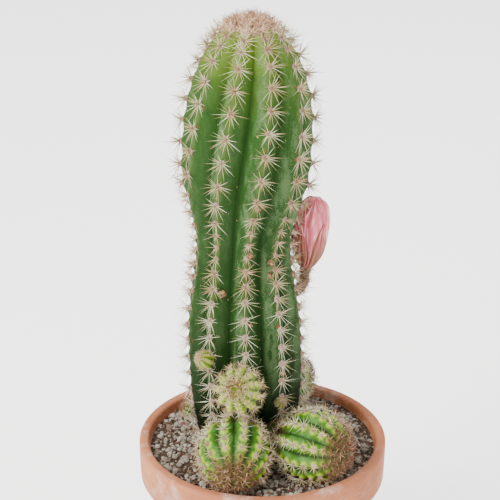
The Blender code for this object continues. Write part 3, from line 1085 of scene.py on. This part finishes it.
class BudShape:
    """The bud's own frame and its outline, read from its CAD nodes."""

    def __init__(self):
        lean = Matrix.Rotation(math.radians(BUD_LEAN), 3, "Y")
        self.axis = lean @ UP
        core = cad_corners("bud_core")
        along = core @ np.array(self.axis)
        foot = core[along < along.min() + 0.0002].mean(axis=0)
        self.foot = Vector(foot)
        self.length = float(along.max() - along.min())
        outer = cad_corners("outer_tepal_1")
        out = outer - foot
        out -= np.outer(out @ np.array(self.axis), np.array(self.axis))
        self.radius = float(np.linalg.norm(out, axis=1).max())
        self.frame = Matrix.Translation(self.foot) @ lean.to_4x4()

    def reach(self, share):
        """The closed bud's radius at a share of its length."""
        widest, base = 0.46, 0.36 * self.radius
        if share < widest:
            return base + (self.radius - base) * (1.0 - (1.0 - share / widest) ** 2.1)
        rise = min((share - widest) / (1.0 - widest), 1.0)
        return self.radius * math.sqrt(1.0 - min(rise**4.0, 0.9999))


BUD = BudShape()


def build_bud_core(finish):
    """The rolled heart of the bud, pleated and twisted shut at its tip."""
    sides, rings = 40, 22
    profile = []
    for ring in range(rings + 1):
        share = 0.02 + 0.97 * ring / rings
        profile.append((BUD.reach(share) - 2.1 * MM, share * BUD.length))
    core = turned_profile("bud_core_petals", sides, profile)

    def pleat(point):
        share = point.z / BUD.length
        towards = math.atan2(point.x, -point.y) + 1.6 * share * share
        fold = 0.5 + 0.5 * math.sin(5.0 * towards + 1.0)
        sink = 1.0 - (0.05 + 0.22 * share**3) * fold**2
        return Vector((point.x * sink, point.y * sink, point.z))

    place_points(core, pleat)
    points = points_of(core)
    per_point(core, "rise", points[:, 2] / BUD.length)
    angle = np.arctan2(points[:, 0], -points[:, 1]) + 1.6 * (points[:, 2] / BUD.length) ** 2
    per_point(core, "side", 0.55 * np.sin(2.5 * angle))
    per_point(core, "number", 11.0)
    subdivide(core, 1)
    core.matrix_world = BUD.frame
    hand_in(smooth(settle(core)), finish, "tepal_pink", "bud_core")


def build_tepal(name, towards, half_width, top, layer, number):
    """A petal laid round the bud: one edge over its neighbour, folded lengthwise, tip drawn in."""
    petal = new_piece(name, "grid", x_subdivisions=14, y_subdivisions=30, size=2.0)
    points = points_of(petal)
    per_point(petal, "side", points[:, 0])
    per_point(petal, "rise", 0.5 * (points[:, 1] + 1.0) * top)
    per_point(petal, "number", 3.7 * number)
    sway = random.Random(100 + number)
    phase, lean, ripple = sway.uniform(0, 6.3), sway.uniform(-9.0, 9.0), sway.uniform(0.8, 1.2)

    def lay(point):
        side, rise = point.x, 0.5 * (point.y + 1.0)
        share = max(rise * top, 0.004)
        width = half_width * (1.0 - (0.80 * rise**5.0 if top > 0.9 else 0.94 * rise**1.9))
        width *= 0.72 + 0.28 * ease(rise / 0.35)
        degrees = towards + side * width + lean * rise * rise
        over = layer + (0.55 * side + 0.25) * MM
        folds = math.sin(7.5 * side * ripple + phase + 2.2 * rise)
        folds += 0.6 * math.sin(13.0 * side + 2.0 * phase - 3.0 * rise)
        depth = 0.90 * MM * folds * ease(rise / 0.2) * (1.0 - 0.5 * abs(side))
        keel = 0.6 * MM * math.exp(-((side / 0.16) ** 2)) * ease(rise / 0.3)
        curl = (0.0 if top > 0.9 else 1.5 * MM) * ease((rise - 0.82) / 0.18)
        reach = max(BUD.reach(min(share, 0.995)) + over + depth + keel + curl, 0.0006)
        return reach * direction(degrees) + share * BUD.length * UP

    place_points(petal, lay)
    finish_with(facing_out(petal), "SOLIDIFY", thickness=0.6 * MM, offset=-1.0)
    subdivide(petal, 1)
    petal.matrix_world = BUD.frame
    return facing_out(smooth(settle(petal)))


def build_bud(pink, dusky):
    build_bud_core(pink)
    for number in range(5):
        petal = build_tepal(
            f"inner_petal_{number + 1}", 72.0 * number, 50.0, 0.975, -1.5 * MM, number
        )
        hand_in(petal, pink, "tepal_pink", f"inner_tepal_{number + 1}")
    for number, top in enumerate(SEPAL_TOPS):
        petal = build_tepal(
            f"outer_sepal_{number + 1}", 72.0 * number + 36.0, 34.0, top, -0.5 * MM, number + 5
        )
        hand_in(petal, dusky, "tepal_dusky", f"outer_tepal_{number + 1}")


def tube_path():
    """Middle points of the floral tube from the stem to the bud."""
    points = cad_corners("floral_tube")
    foot, head = points[np.argmin(points[:, 2])], points[np.argmax(points[:, 2])]
    run = (head - foot) / np.linalg.norm(head - foot)
    along = (points - foot) @ run
    edges = np.linspace(along.min(), along.max(), 6)
    middles = []
    for low, high in zip(edges, edges[1:]):
        band = points[(along >= low - SAME_PLACE) & (along <= high + SAME_PLACE)]
        middles.append(Vector(0.5 * (band.min(axis=0) + band.max(axis=0))))
    return middles


def make_scale():
    """A small pointed bract two units wide at most and two long, curved over its back."""
    scale = new_piece("bract", "grid", x_subdivisions=2, y_subdivisions=3, size=2.0)

    def lay(point):
        rise = 0.5 * (point.y + 1.0)
        width = (0.55 + 0.45 * rise) * (1.0 - rise**3)
        return Vector((point.x * width, 2.0 * rise, 0.35 * rise - 0.35 * point.x**2 * width))

    place_points(scale, lay)
    finish_with(scale, "SOLIDIFY", thickness=0.16, offset=-1.0)
    return facing_out(scale)


def make_curl(name, bend):
    """A tapered hair one unit long that bends over by so many degrees."""
    hair = new_ring(name, 3, 0.034)
    steps = 6
    with editing(hair):
        select_all()
        heading = 0.0
        for step in range(steps):
            heading += math.radians(bend / steps)
            lift((0.0, math.sin(heading) / steps, math.cos(heading) / steps))
            bpy.ops.transform.resize(value=(0.86, 0.86, 0.86))
        bpy.ops.mesh.edge_face_add()
        select_points(hair, lambda place: place.length < 0.03)
        bpy.ops.mesh.edge_face_add()
    return facing_out(hair)


def build_tube_skin(finish):
    """The CAD tube's own shape, rounded and roughened."""
    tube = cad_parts["floral_tube"].copy()
    tube.data = tube.data.copy()
    for key in list(tube.keys()):
        del tube[key]
    bpy.context.scene.collection.objects.link(tube)
    tube.name = tube.data.name = "floral_tube_skin"
    tube.hide_render = False
    with editing(tube):
        select_all()
        bpy.ops.mesh.remove_doubles(threshold=0.02 * MM)
        bpy.ops.mesh.tris_convert_to_quads()
        bpy.ops.mesh.subdivide(number_cuts=2, smoothness=0.6)
    points, normals = points_of(tube), points_of(tube, "normal")
    rough = np.array([noise.noise(Vector(point) * 420.0) for point in points])
    move_points(tube, points + normals * (0.35 * MM * rough)[:, None])
    per_point(tube, "shade", 0.5 + 0.5 * rough)
    return hand_in(smooth(tube), finish, "tube_skin", "floral_tube")


def tube_spots(skin, count):
    """Places that wind up the tube, a golden angle apart, seated on its skin."""
    middles = tube_path()
    for number in range(count):
        part = (number + 0.5) / count * (len(middles) - 1)
        index = min(int(part), len(middles) - 2)
        run = (middles[index + 1] - middles[index]).normalized()
        centre = middles[index].lerp(middles[index + 1], part - index)
        side = run.orthogonal().normalized()
        out = Matrix.Rotation(math.radians(GOLDEN_ANGLE * number), 3, run) @ side
        hit, _, _, _ = skin.ray_cast(centre + 20.0 * MM * out, -out, 30.0 * MM)
        if hit is not None:
            yield Areole(hit - 0.1 * MM * out, out, run, 1.0, 0.0)


def build_tube(finish, hair_finish):
    skin = skin_of(build_tube_skin(finish))
    scale = make_scale()
    curls = [make_curl(f"curl_{bend}", bend) for bend in HAIR_BENDS]
    scales, hairs = [], []
    for spot in tube_spots(skin, TUBE_BRACTS):
        size = dice.uniform(1.6, 2.7) * MM
        scales.append(copy_to(scale, areole_matrix(spot, size), shade=dice.random()))
        for _ in range(HAIRS_PER_BRACT):
            length = dice.uniform(5.0, 11.0) * MM
            place = areole_matrix(spot, length, dice.uniform(0.0, 360.0))
            tip = rotation(dice.uniform(-50.0, 20.0), "X")
            age = {"age": dice.uniform(0.2, 0.9), "shade": dice.random()}
            hairs.append(copy_to(dice.choice(curls), place @ tip, **age))
    for _ in range(BUD_HAIRS):  # hairs on the side of the bud that faces the stem
        share = dice.uniform(0.03, 0.62)
        out = direction(dice.uniform(150.0, 330.0))
        place = BUD.frame @ ((BUD.reach(share) + 0.3 * MM) * out + share * BUD.length * UP)
        spot = Areole(place, BUD.frame.to_3x3() @ out, BUD.axis, 1.0, 0.0)
        lean = rotation(dice.uniform(-75.0, -20.0), "X")
        spin = dice.uniform(-60.0, 60.0) + (180.0 if dice.random() < 0.3 else 0.0)
        grown = areole_matrix(spot, dice.uniform(4.0, 9.0) * MM, spin) @ lean
        age = {"age": dice.uniform(0.0, 0.3), "shade": dice.random()}
        hairs.append(copy_to(dice.choice(curls), grown, **age))
    hand_in(smooth(joined("tube_bracts", scales), 50.0), finish, "tube_skin")
    hand_in(smooth(joined("tube_hairs", hairs)), hair_finish, "spine")
    discard([scale, *curls])


# ---- withered buds on the stem

# rib, height above the soil, sideways shift and radius, all in millimetres, and how red it is
WITHERED = (
    (1, 203.0, -5.0, 3.8, 0.1),
    (1, 191.0, -5.5, 3.5, 0.25),
    (-1, 174.0, 9.0, 4.6, 0.0),
    (0, 214.0, 2.0, 3.6, 0.2),
    (0, 132.0, 0.5, 3.0, 1.0),
    (0, 148.0, 4.0, 3.2, 0.1),
    (1, 94.0, 0.0, 3.2, 0.3),
    (0, 262.0, 3.0, 3.3, 0.1),
    (-4, 240.0, 2.0, 3.6, 0.2),
    (5, 180.0, -3.0, 3.8, 0.1),
)


def make_withered_bud(name):
    """A shrivelled bud one unit in radius, wrapped in pointed scales."""
    core = new_piece("core", "ico_sphere", subdivisions=2, radius=0.7)
    scale = make_scale()
    parts = [copy_to(core, Matrix.Identity(4), shade=0.1)]
    for number in range(16):
        polar = math.radians(100.0 - 5.0 * number + dice.uniform(-6.0, 6.0))
        out = direction(GOLDEN_ANGLE * number)
        normal, along = ball_directions(polar, out)
        spot = Areole(0.62 * normal, normal, along, 1.0, 0.0)
        lean = rotation(dice.uniform(-4.0, 18.0), "X")
        place = areole_matrix(spot, dice.uniform(0.40, 0.52)) @ lean
        parts.append(copy_to(scale, place, shade=dice.random()))
    discard([core, scale])
    return joined(name, parts)


def build_withered_buds(skin, finish):
    kinds = [make_withered_bud(f"withered_{number}") for number in range(3)]
    made = []
    for rib, above, aside, size, red in WITHERED:
        height = SOIL_TOP + above * MM
        axis, crest, front = STEM.at(height)
        out = direction(front + rib * 360.0 / STEM_RIBS + math.degrees(aside * MM / crest))
        start = Vector((axis.x, axis.y, height)) + (crest + 0.02) * out
        hit, _, _, _ = skin.ray_cast(start, -out, 0.06)
        spot = Areole(hit + 0.45 * size * MM * out, out, UP, 1.0, 0.0)
        droop = rotation(dice.uniform(-40.0, 40.0), "X")
        place = areole_matrix(spot, size * MM, dice.uniform(0, 360)) @ droop
        made.append(copy_to(dice.choice(kinds), place, red=red))
    discard(kinds)
    hand_in(smooth(joined("withered_buds", made), 50.0), finish, "tube_skin")


# ---- the pot, the potsherd, the soil and its grit


def pot_outline():
    """The pot's corners as {height: radii from the widest inwards}, read from its CAD node."""
    corners = cad_corners("pot")
    radii = np.hypot(corners[:, 0], corners[:, 1])
    rows = np.unique(np.round(np.column_stack((corners[:, 2], radii)), 4), axis=0)
    outline = {}
    for height, radius in rows:
        found = outline.setdefault(float(height), [])
        if all(abs(radius - other) > 0.0004 for other in found):
            found.append(float(radius))
    return {height: sorted(found, reverse=True) for height, found in outline.items()}


def on_the_way(first, last, *shares):
    """Points at shares of the way from one (radius, height) to another."""
    return [tuple(a + (b - a) * share for a, b in zip(first, last)) for share in shares]


def build_pot(finish):
    """A thrown clay pot: a rim band, a sloping wall and a drainage hole, its edges rounded."""
    outline = pot_outline()
    heights = sorted(outline)
    low, edge, floor, step, band_foot, band_edge = heights[:6]
    under_top, top = heights[-2:]

    def corner(height, which):
        return outline[height][which], height

    wall_foot, wall_top = corner(edge, 0), corner(band_foot, -1)
    inner_top, inner_foot = corner(under_top, -1), corner(step, 0)
    profile = [corner(low, -1), corner(low, 0), wall_foot]
    profile += on_the_way(wall_foot, wall_top, 0.25, 0.5, 0.75)
    profile += [wall_top, corner(band_foot, 0), corner(band_edge, 0)]
    profile += on_the_way(corner(band_edge, 0), corner(under_top, 0), 0.5)
    profile += [corner(under_top, 0), corner(top, 0), corner(top, -1), inner_top]
    profile += on_the_way(inner_top, inner_foot, 0.33, 0.66)
    profile += [inner_foot, corner(floor, 0), corner(floor, -1), corner(edge, -1), corner(low, -1)]
    pot = turned_profile("clay_pot", 72, profile, closed=True)
    finish_with(pot, "BEVEL", width=1.1 * MM, segments=2, limit_method="ANGLE", angle_limit=0.5)
    subdivide(pot, 1)
    points, normals = points_of(pot), points_of(pot, "normal")
    wobble = [noise.noise(Vector((p[0] * 9.0, p[1] * 9.0, p[2] * 60.0))) for p in points]
    lumps = [noise.noise(Vector(p) * 45.0) for p in points]
    uneven = MM * (0.20 * np.array(wobble) + 0.15 * np.array(lumps))
    move_points(pot, points + normals * uneven[:, None])
    hand_in(smooth(pot, 60.0), finish, "terracotta", "pot")


def soil_rise(place):
    """How far the loose top of the soil stands above its level."""
    lumps = noise.noise(place * 38.0) * 1.1 + noise.noise(place * 130.0) * 0.8
    return MM * (1.9 + lumps + 0.5 * noise.noise(place * 420.0))


def build_soil_crust(finish):
    """The loose top layer, a thin disc with a crumbly face that meets pot and plant."""
    mouth = max(radii[-1] for height, radii in pot_outline().items() if height > SOIL_TOP)
    reach = mouth - 1.2 * MM
    rings = 34
    crust = new_ring("soil_crust", 160, reach, (0.0, 0.0, SOIL_TOP - 0.5 * MM))
    with editing(crust):
        select_all()
        lift((0.0, 0.0, 1.0 * MM))
        for ring in range(1, rings):
            share = (1.0 - ring / rings) / (1.0 - (ring - 1) / rings)
            lift((0.0, 0.0, 0.0))
            widen(share, (0.0, 0.0, SOIL_TOP))
        close_end((0.0, 0.0, 0.0))
        select_points(crust, lambda place: place.z < SOIL_TOP)
        close_end((0.0, 0.0, 0.0))

    def crumble(point):
        if point.z < SOIL_TOP:
            return point
        level = Vector((point.x, point.y, 0.0))
        from_wall = (level.length - reach + 4.0 * MM) / (4.0 * MM)
        hug = 0.88 * MM * math.exp(-(max(from_wall, -12.5) ** 2))
        return Vector((point.x, point.y, SOIL_TOP + soil_rise(level) + hug))

    place_points(crust, crumble)
    hand_in(smooth(facing_out(crust)), finish, "cactus_soil")
    return reach


def make_stone(name, detail):
    """A chipped, flattened stone about one unit in radius."""
    stone = new_piece(name, "ico_sphere", subdivisions=detail, radius=1.0)
    squash = Vector((dice.uniform(0.8, 1.15), dice.uniform(0.75, 1.05), dice.uniform(0.5, 0.75)))
    shift = Vector((dice.uniform(-9, 9), dice.uniform(-9, 9), dice.uniform(-9, 9)))

    def chip(point):
        chipped = 1.0 + 0.42 * noise.noise(1.3 * point + shift)
        return Vector((point.x * squash.x, point.y * squash.y, point.z * squash.z)) * chipped

    place_points(stone, chip)
    return stone


def build_grit(reach, resting, finish):
    """Seeded stones on the soil, small ones first, clear of the stem and the resting offsets."""
    stones = {
        name: [make_stone(f"{name}_{n}", detail) for n in range(kinds)]
        for name, (detail, kinds, _, _) in GRIT.items()
    }
    axis, crest, _ = STEM.at(SOIL_TOP)
    for name, (_, _, count, sizes) in GRIT.items():
        made = []
        while len(made) < count:
            out = reach * math.sqrt(dice.random()) * direction(dice.uniform(0.0, 360.0))
            size = dice.uniform(*sizes) * MM * (0.8 + 0.4 * dice.random() ** 3)
            away = Vector((out.x - axis.x, out.y - axis.y)).length
            if out.length > reach - size or away < 0.92 * crest + size:
                continue
            if any(touches(out, size, centre, radius) for centre, radius in resting):
                continue
            place = Vector((out.x, out.y, SOIL_TOP + soil_rise(out) + 0.25 * size))
            spin = Matrix.Rotation(dice.uniform(0.0, 6.3), 4, "Z")
            spin @= Matrix.Rotation(dice.uniform(-0.5, 0.5), 4, "X")
            matrix = Matrix.Translation(place) @ spin @ Matrix.Scale(size, 4)
            made.append(copy_to(dice.choice(stones[name]), matrix, shade=dice.random()))
        hand_in(smooth(joined(name, made), 35.0), finish, "cactus_soil")
    discard(stone for kinds in stones.values() for stone in kinds)


def touches(place, size, centre, radius):
    """Whether a stone of a size would run into a ball that rests on the soil."""
    away = Vector((place.x - centre.x, place.y - centre.y)).length
    if away >= radius:
        return False
    belly = centre.z - math.sqrt(radius**2 - away**2)
    return belly < SOIL_TOP + 2.2 * MM + 1.1 * size


# ---- floor, light and camera


def build_stage():
    floor = new_piece("floor", "plane", size=FLOOR_SIZE)
    paint = Finish("floor_paint", Base_Color=(0.93, 0.93, 0.93), Roughness=0.8)
    paint.set(Emission_Color=(1.0, 1.0, 1.0), Emission_Strength=FLOOR_GLOW)
    floor.data.materials.append(paint.material)
    world = bpy.data.worlds.new("studio")
    bpy.context.scene.world = world
    world.use_nodes = True
    sky = world.node_tree.nodes["Background"]
    sky.inputs["Color"].default_value = (1.0, 0.99, 0.98, 1.0)
    sky.inputs["Strength"].default_value = SKY_STRENGTH
    for name, (place, size, energy, colour) in LAMPS.items():
        lamp = bpy.data.lights.new(name, "AREA")
        lamp.size, lamp.energy, lamp.color = size, energy, colour
        holder = put_in_scene(name, lamp)
        holder.location = place
        holder.rotation_euler = (LAMPS_AIM - holder.location).to_track_quat("-Z", "Y").to_euler()
    lens = bpy.data.cameras.new("camera")
    lens.lens, lens.sensor_width, lens.clip_start = CAMERA_LENS, 36.0, 0.05
    camera = put_in_scene("camera", lens)
    aside, ahead, above = CAMERA_PLACE
    camera.location = (aside, ahead, SOIL_TOP + above)
    camera.rotation_euler = (math.radians(90.0 - CAMERA_DIP), 0.0, 0.0)
    bpy.context.scene.camera = camera


def main():
    build_stage()
    finishes = {"spine": spine_finish(), "felt": felt_finish()}
    thorn = make_thorn()
    tufts = {
        kind: [make_tuft(f"{kind}_{n}", thorn, *shape) for n in range(TUFTS_OF_A_KIND)]
        for kind, shape in TUFTS.items()
    }
    cushions = [make_cushion(f"cushion_{n}", 7 + n) for n in range(4)]

    areoles, skin = build_stem(stem_skin())
    clothe("stem", areoles, tufts, cushions, finishes, stem_rule)
    build_withered_buds(skin, withered_finish())

    bright, tender = offset_skin("offset_skin", 0.0), offset_skin("tender_skin", 1.0)
    resting = []
    for node, (_, _, _, _, spine) in OFFSETS.items():
        young = node in TENDER_OFFSETS
        green = tender if young else bright
        areoles, centre, radius = build_offset(node, green)
        build_neck(node, centre, radius, green)
        rule = offset_rule(spine, felt_radius(radius), young)
        clothe(node, areoles, tufts, cushions, finishes, rule)
        if centre.z - radius < SOIL_TOP + 12.0 * MM:
            resting.append((centre, radius))
    discard([thorn, *cushions, *(tuft for kind in tufts.values() for tuft in kind)])

    pink = tepal_finish(
        "tepal_pink",
        light=(1.00, 0.50, 0.54),
        mid=(0.70, 0.130, 0.165),
        deep=(0.26, 0.012, 0.028),
        base=(0.21, 0.055, 0.030),
        foot_end=0.58,
    )
    dusky = tepal_finish(
        "tepal_dusky",
        light=(0.82, 0.29, 0.28),
        mid=(0.42, 0.075, 0.065),
        deep=(0.16, 0.018, 0.014),
        base=(0.19, 0.075, 0.035),
        foot_end=0.72,
    )
    build_bud(pink, dusky)
    build_tube(tube_finish(), finishes["spine"])

    clay = clay_finish()
    build_pot(clay)
    earth = soil_finish()
    reach = build_soil_crust(earth)
    build_grit(reach, resting, grit_finish())
    for node, finish in (("drain_crock", clay), ("soil", earth)):
        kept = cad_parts[node]
        kept.data.materials.clear()
        kept.data.materials.append(finish)


main()
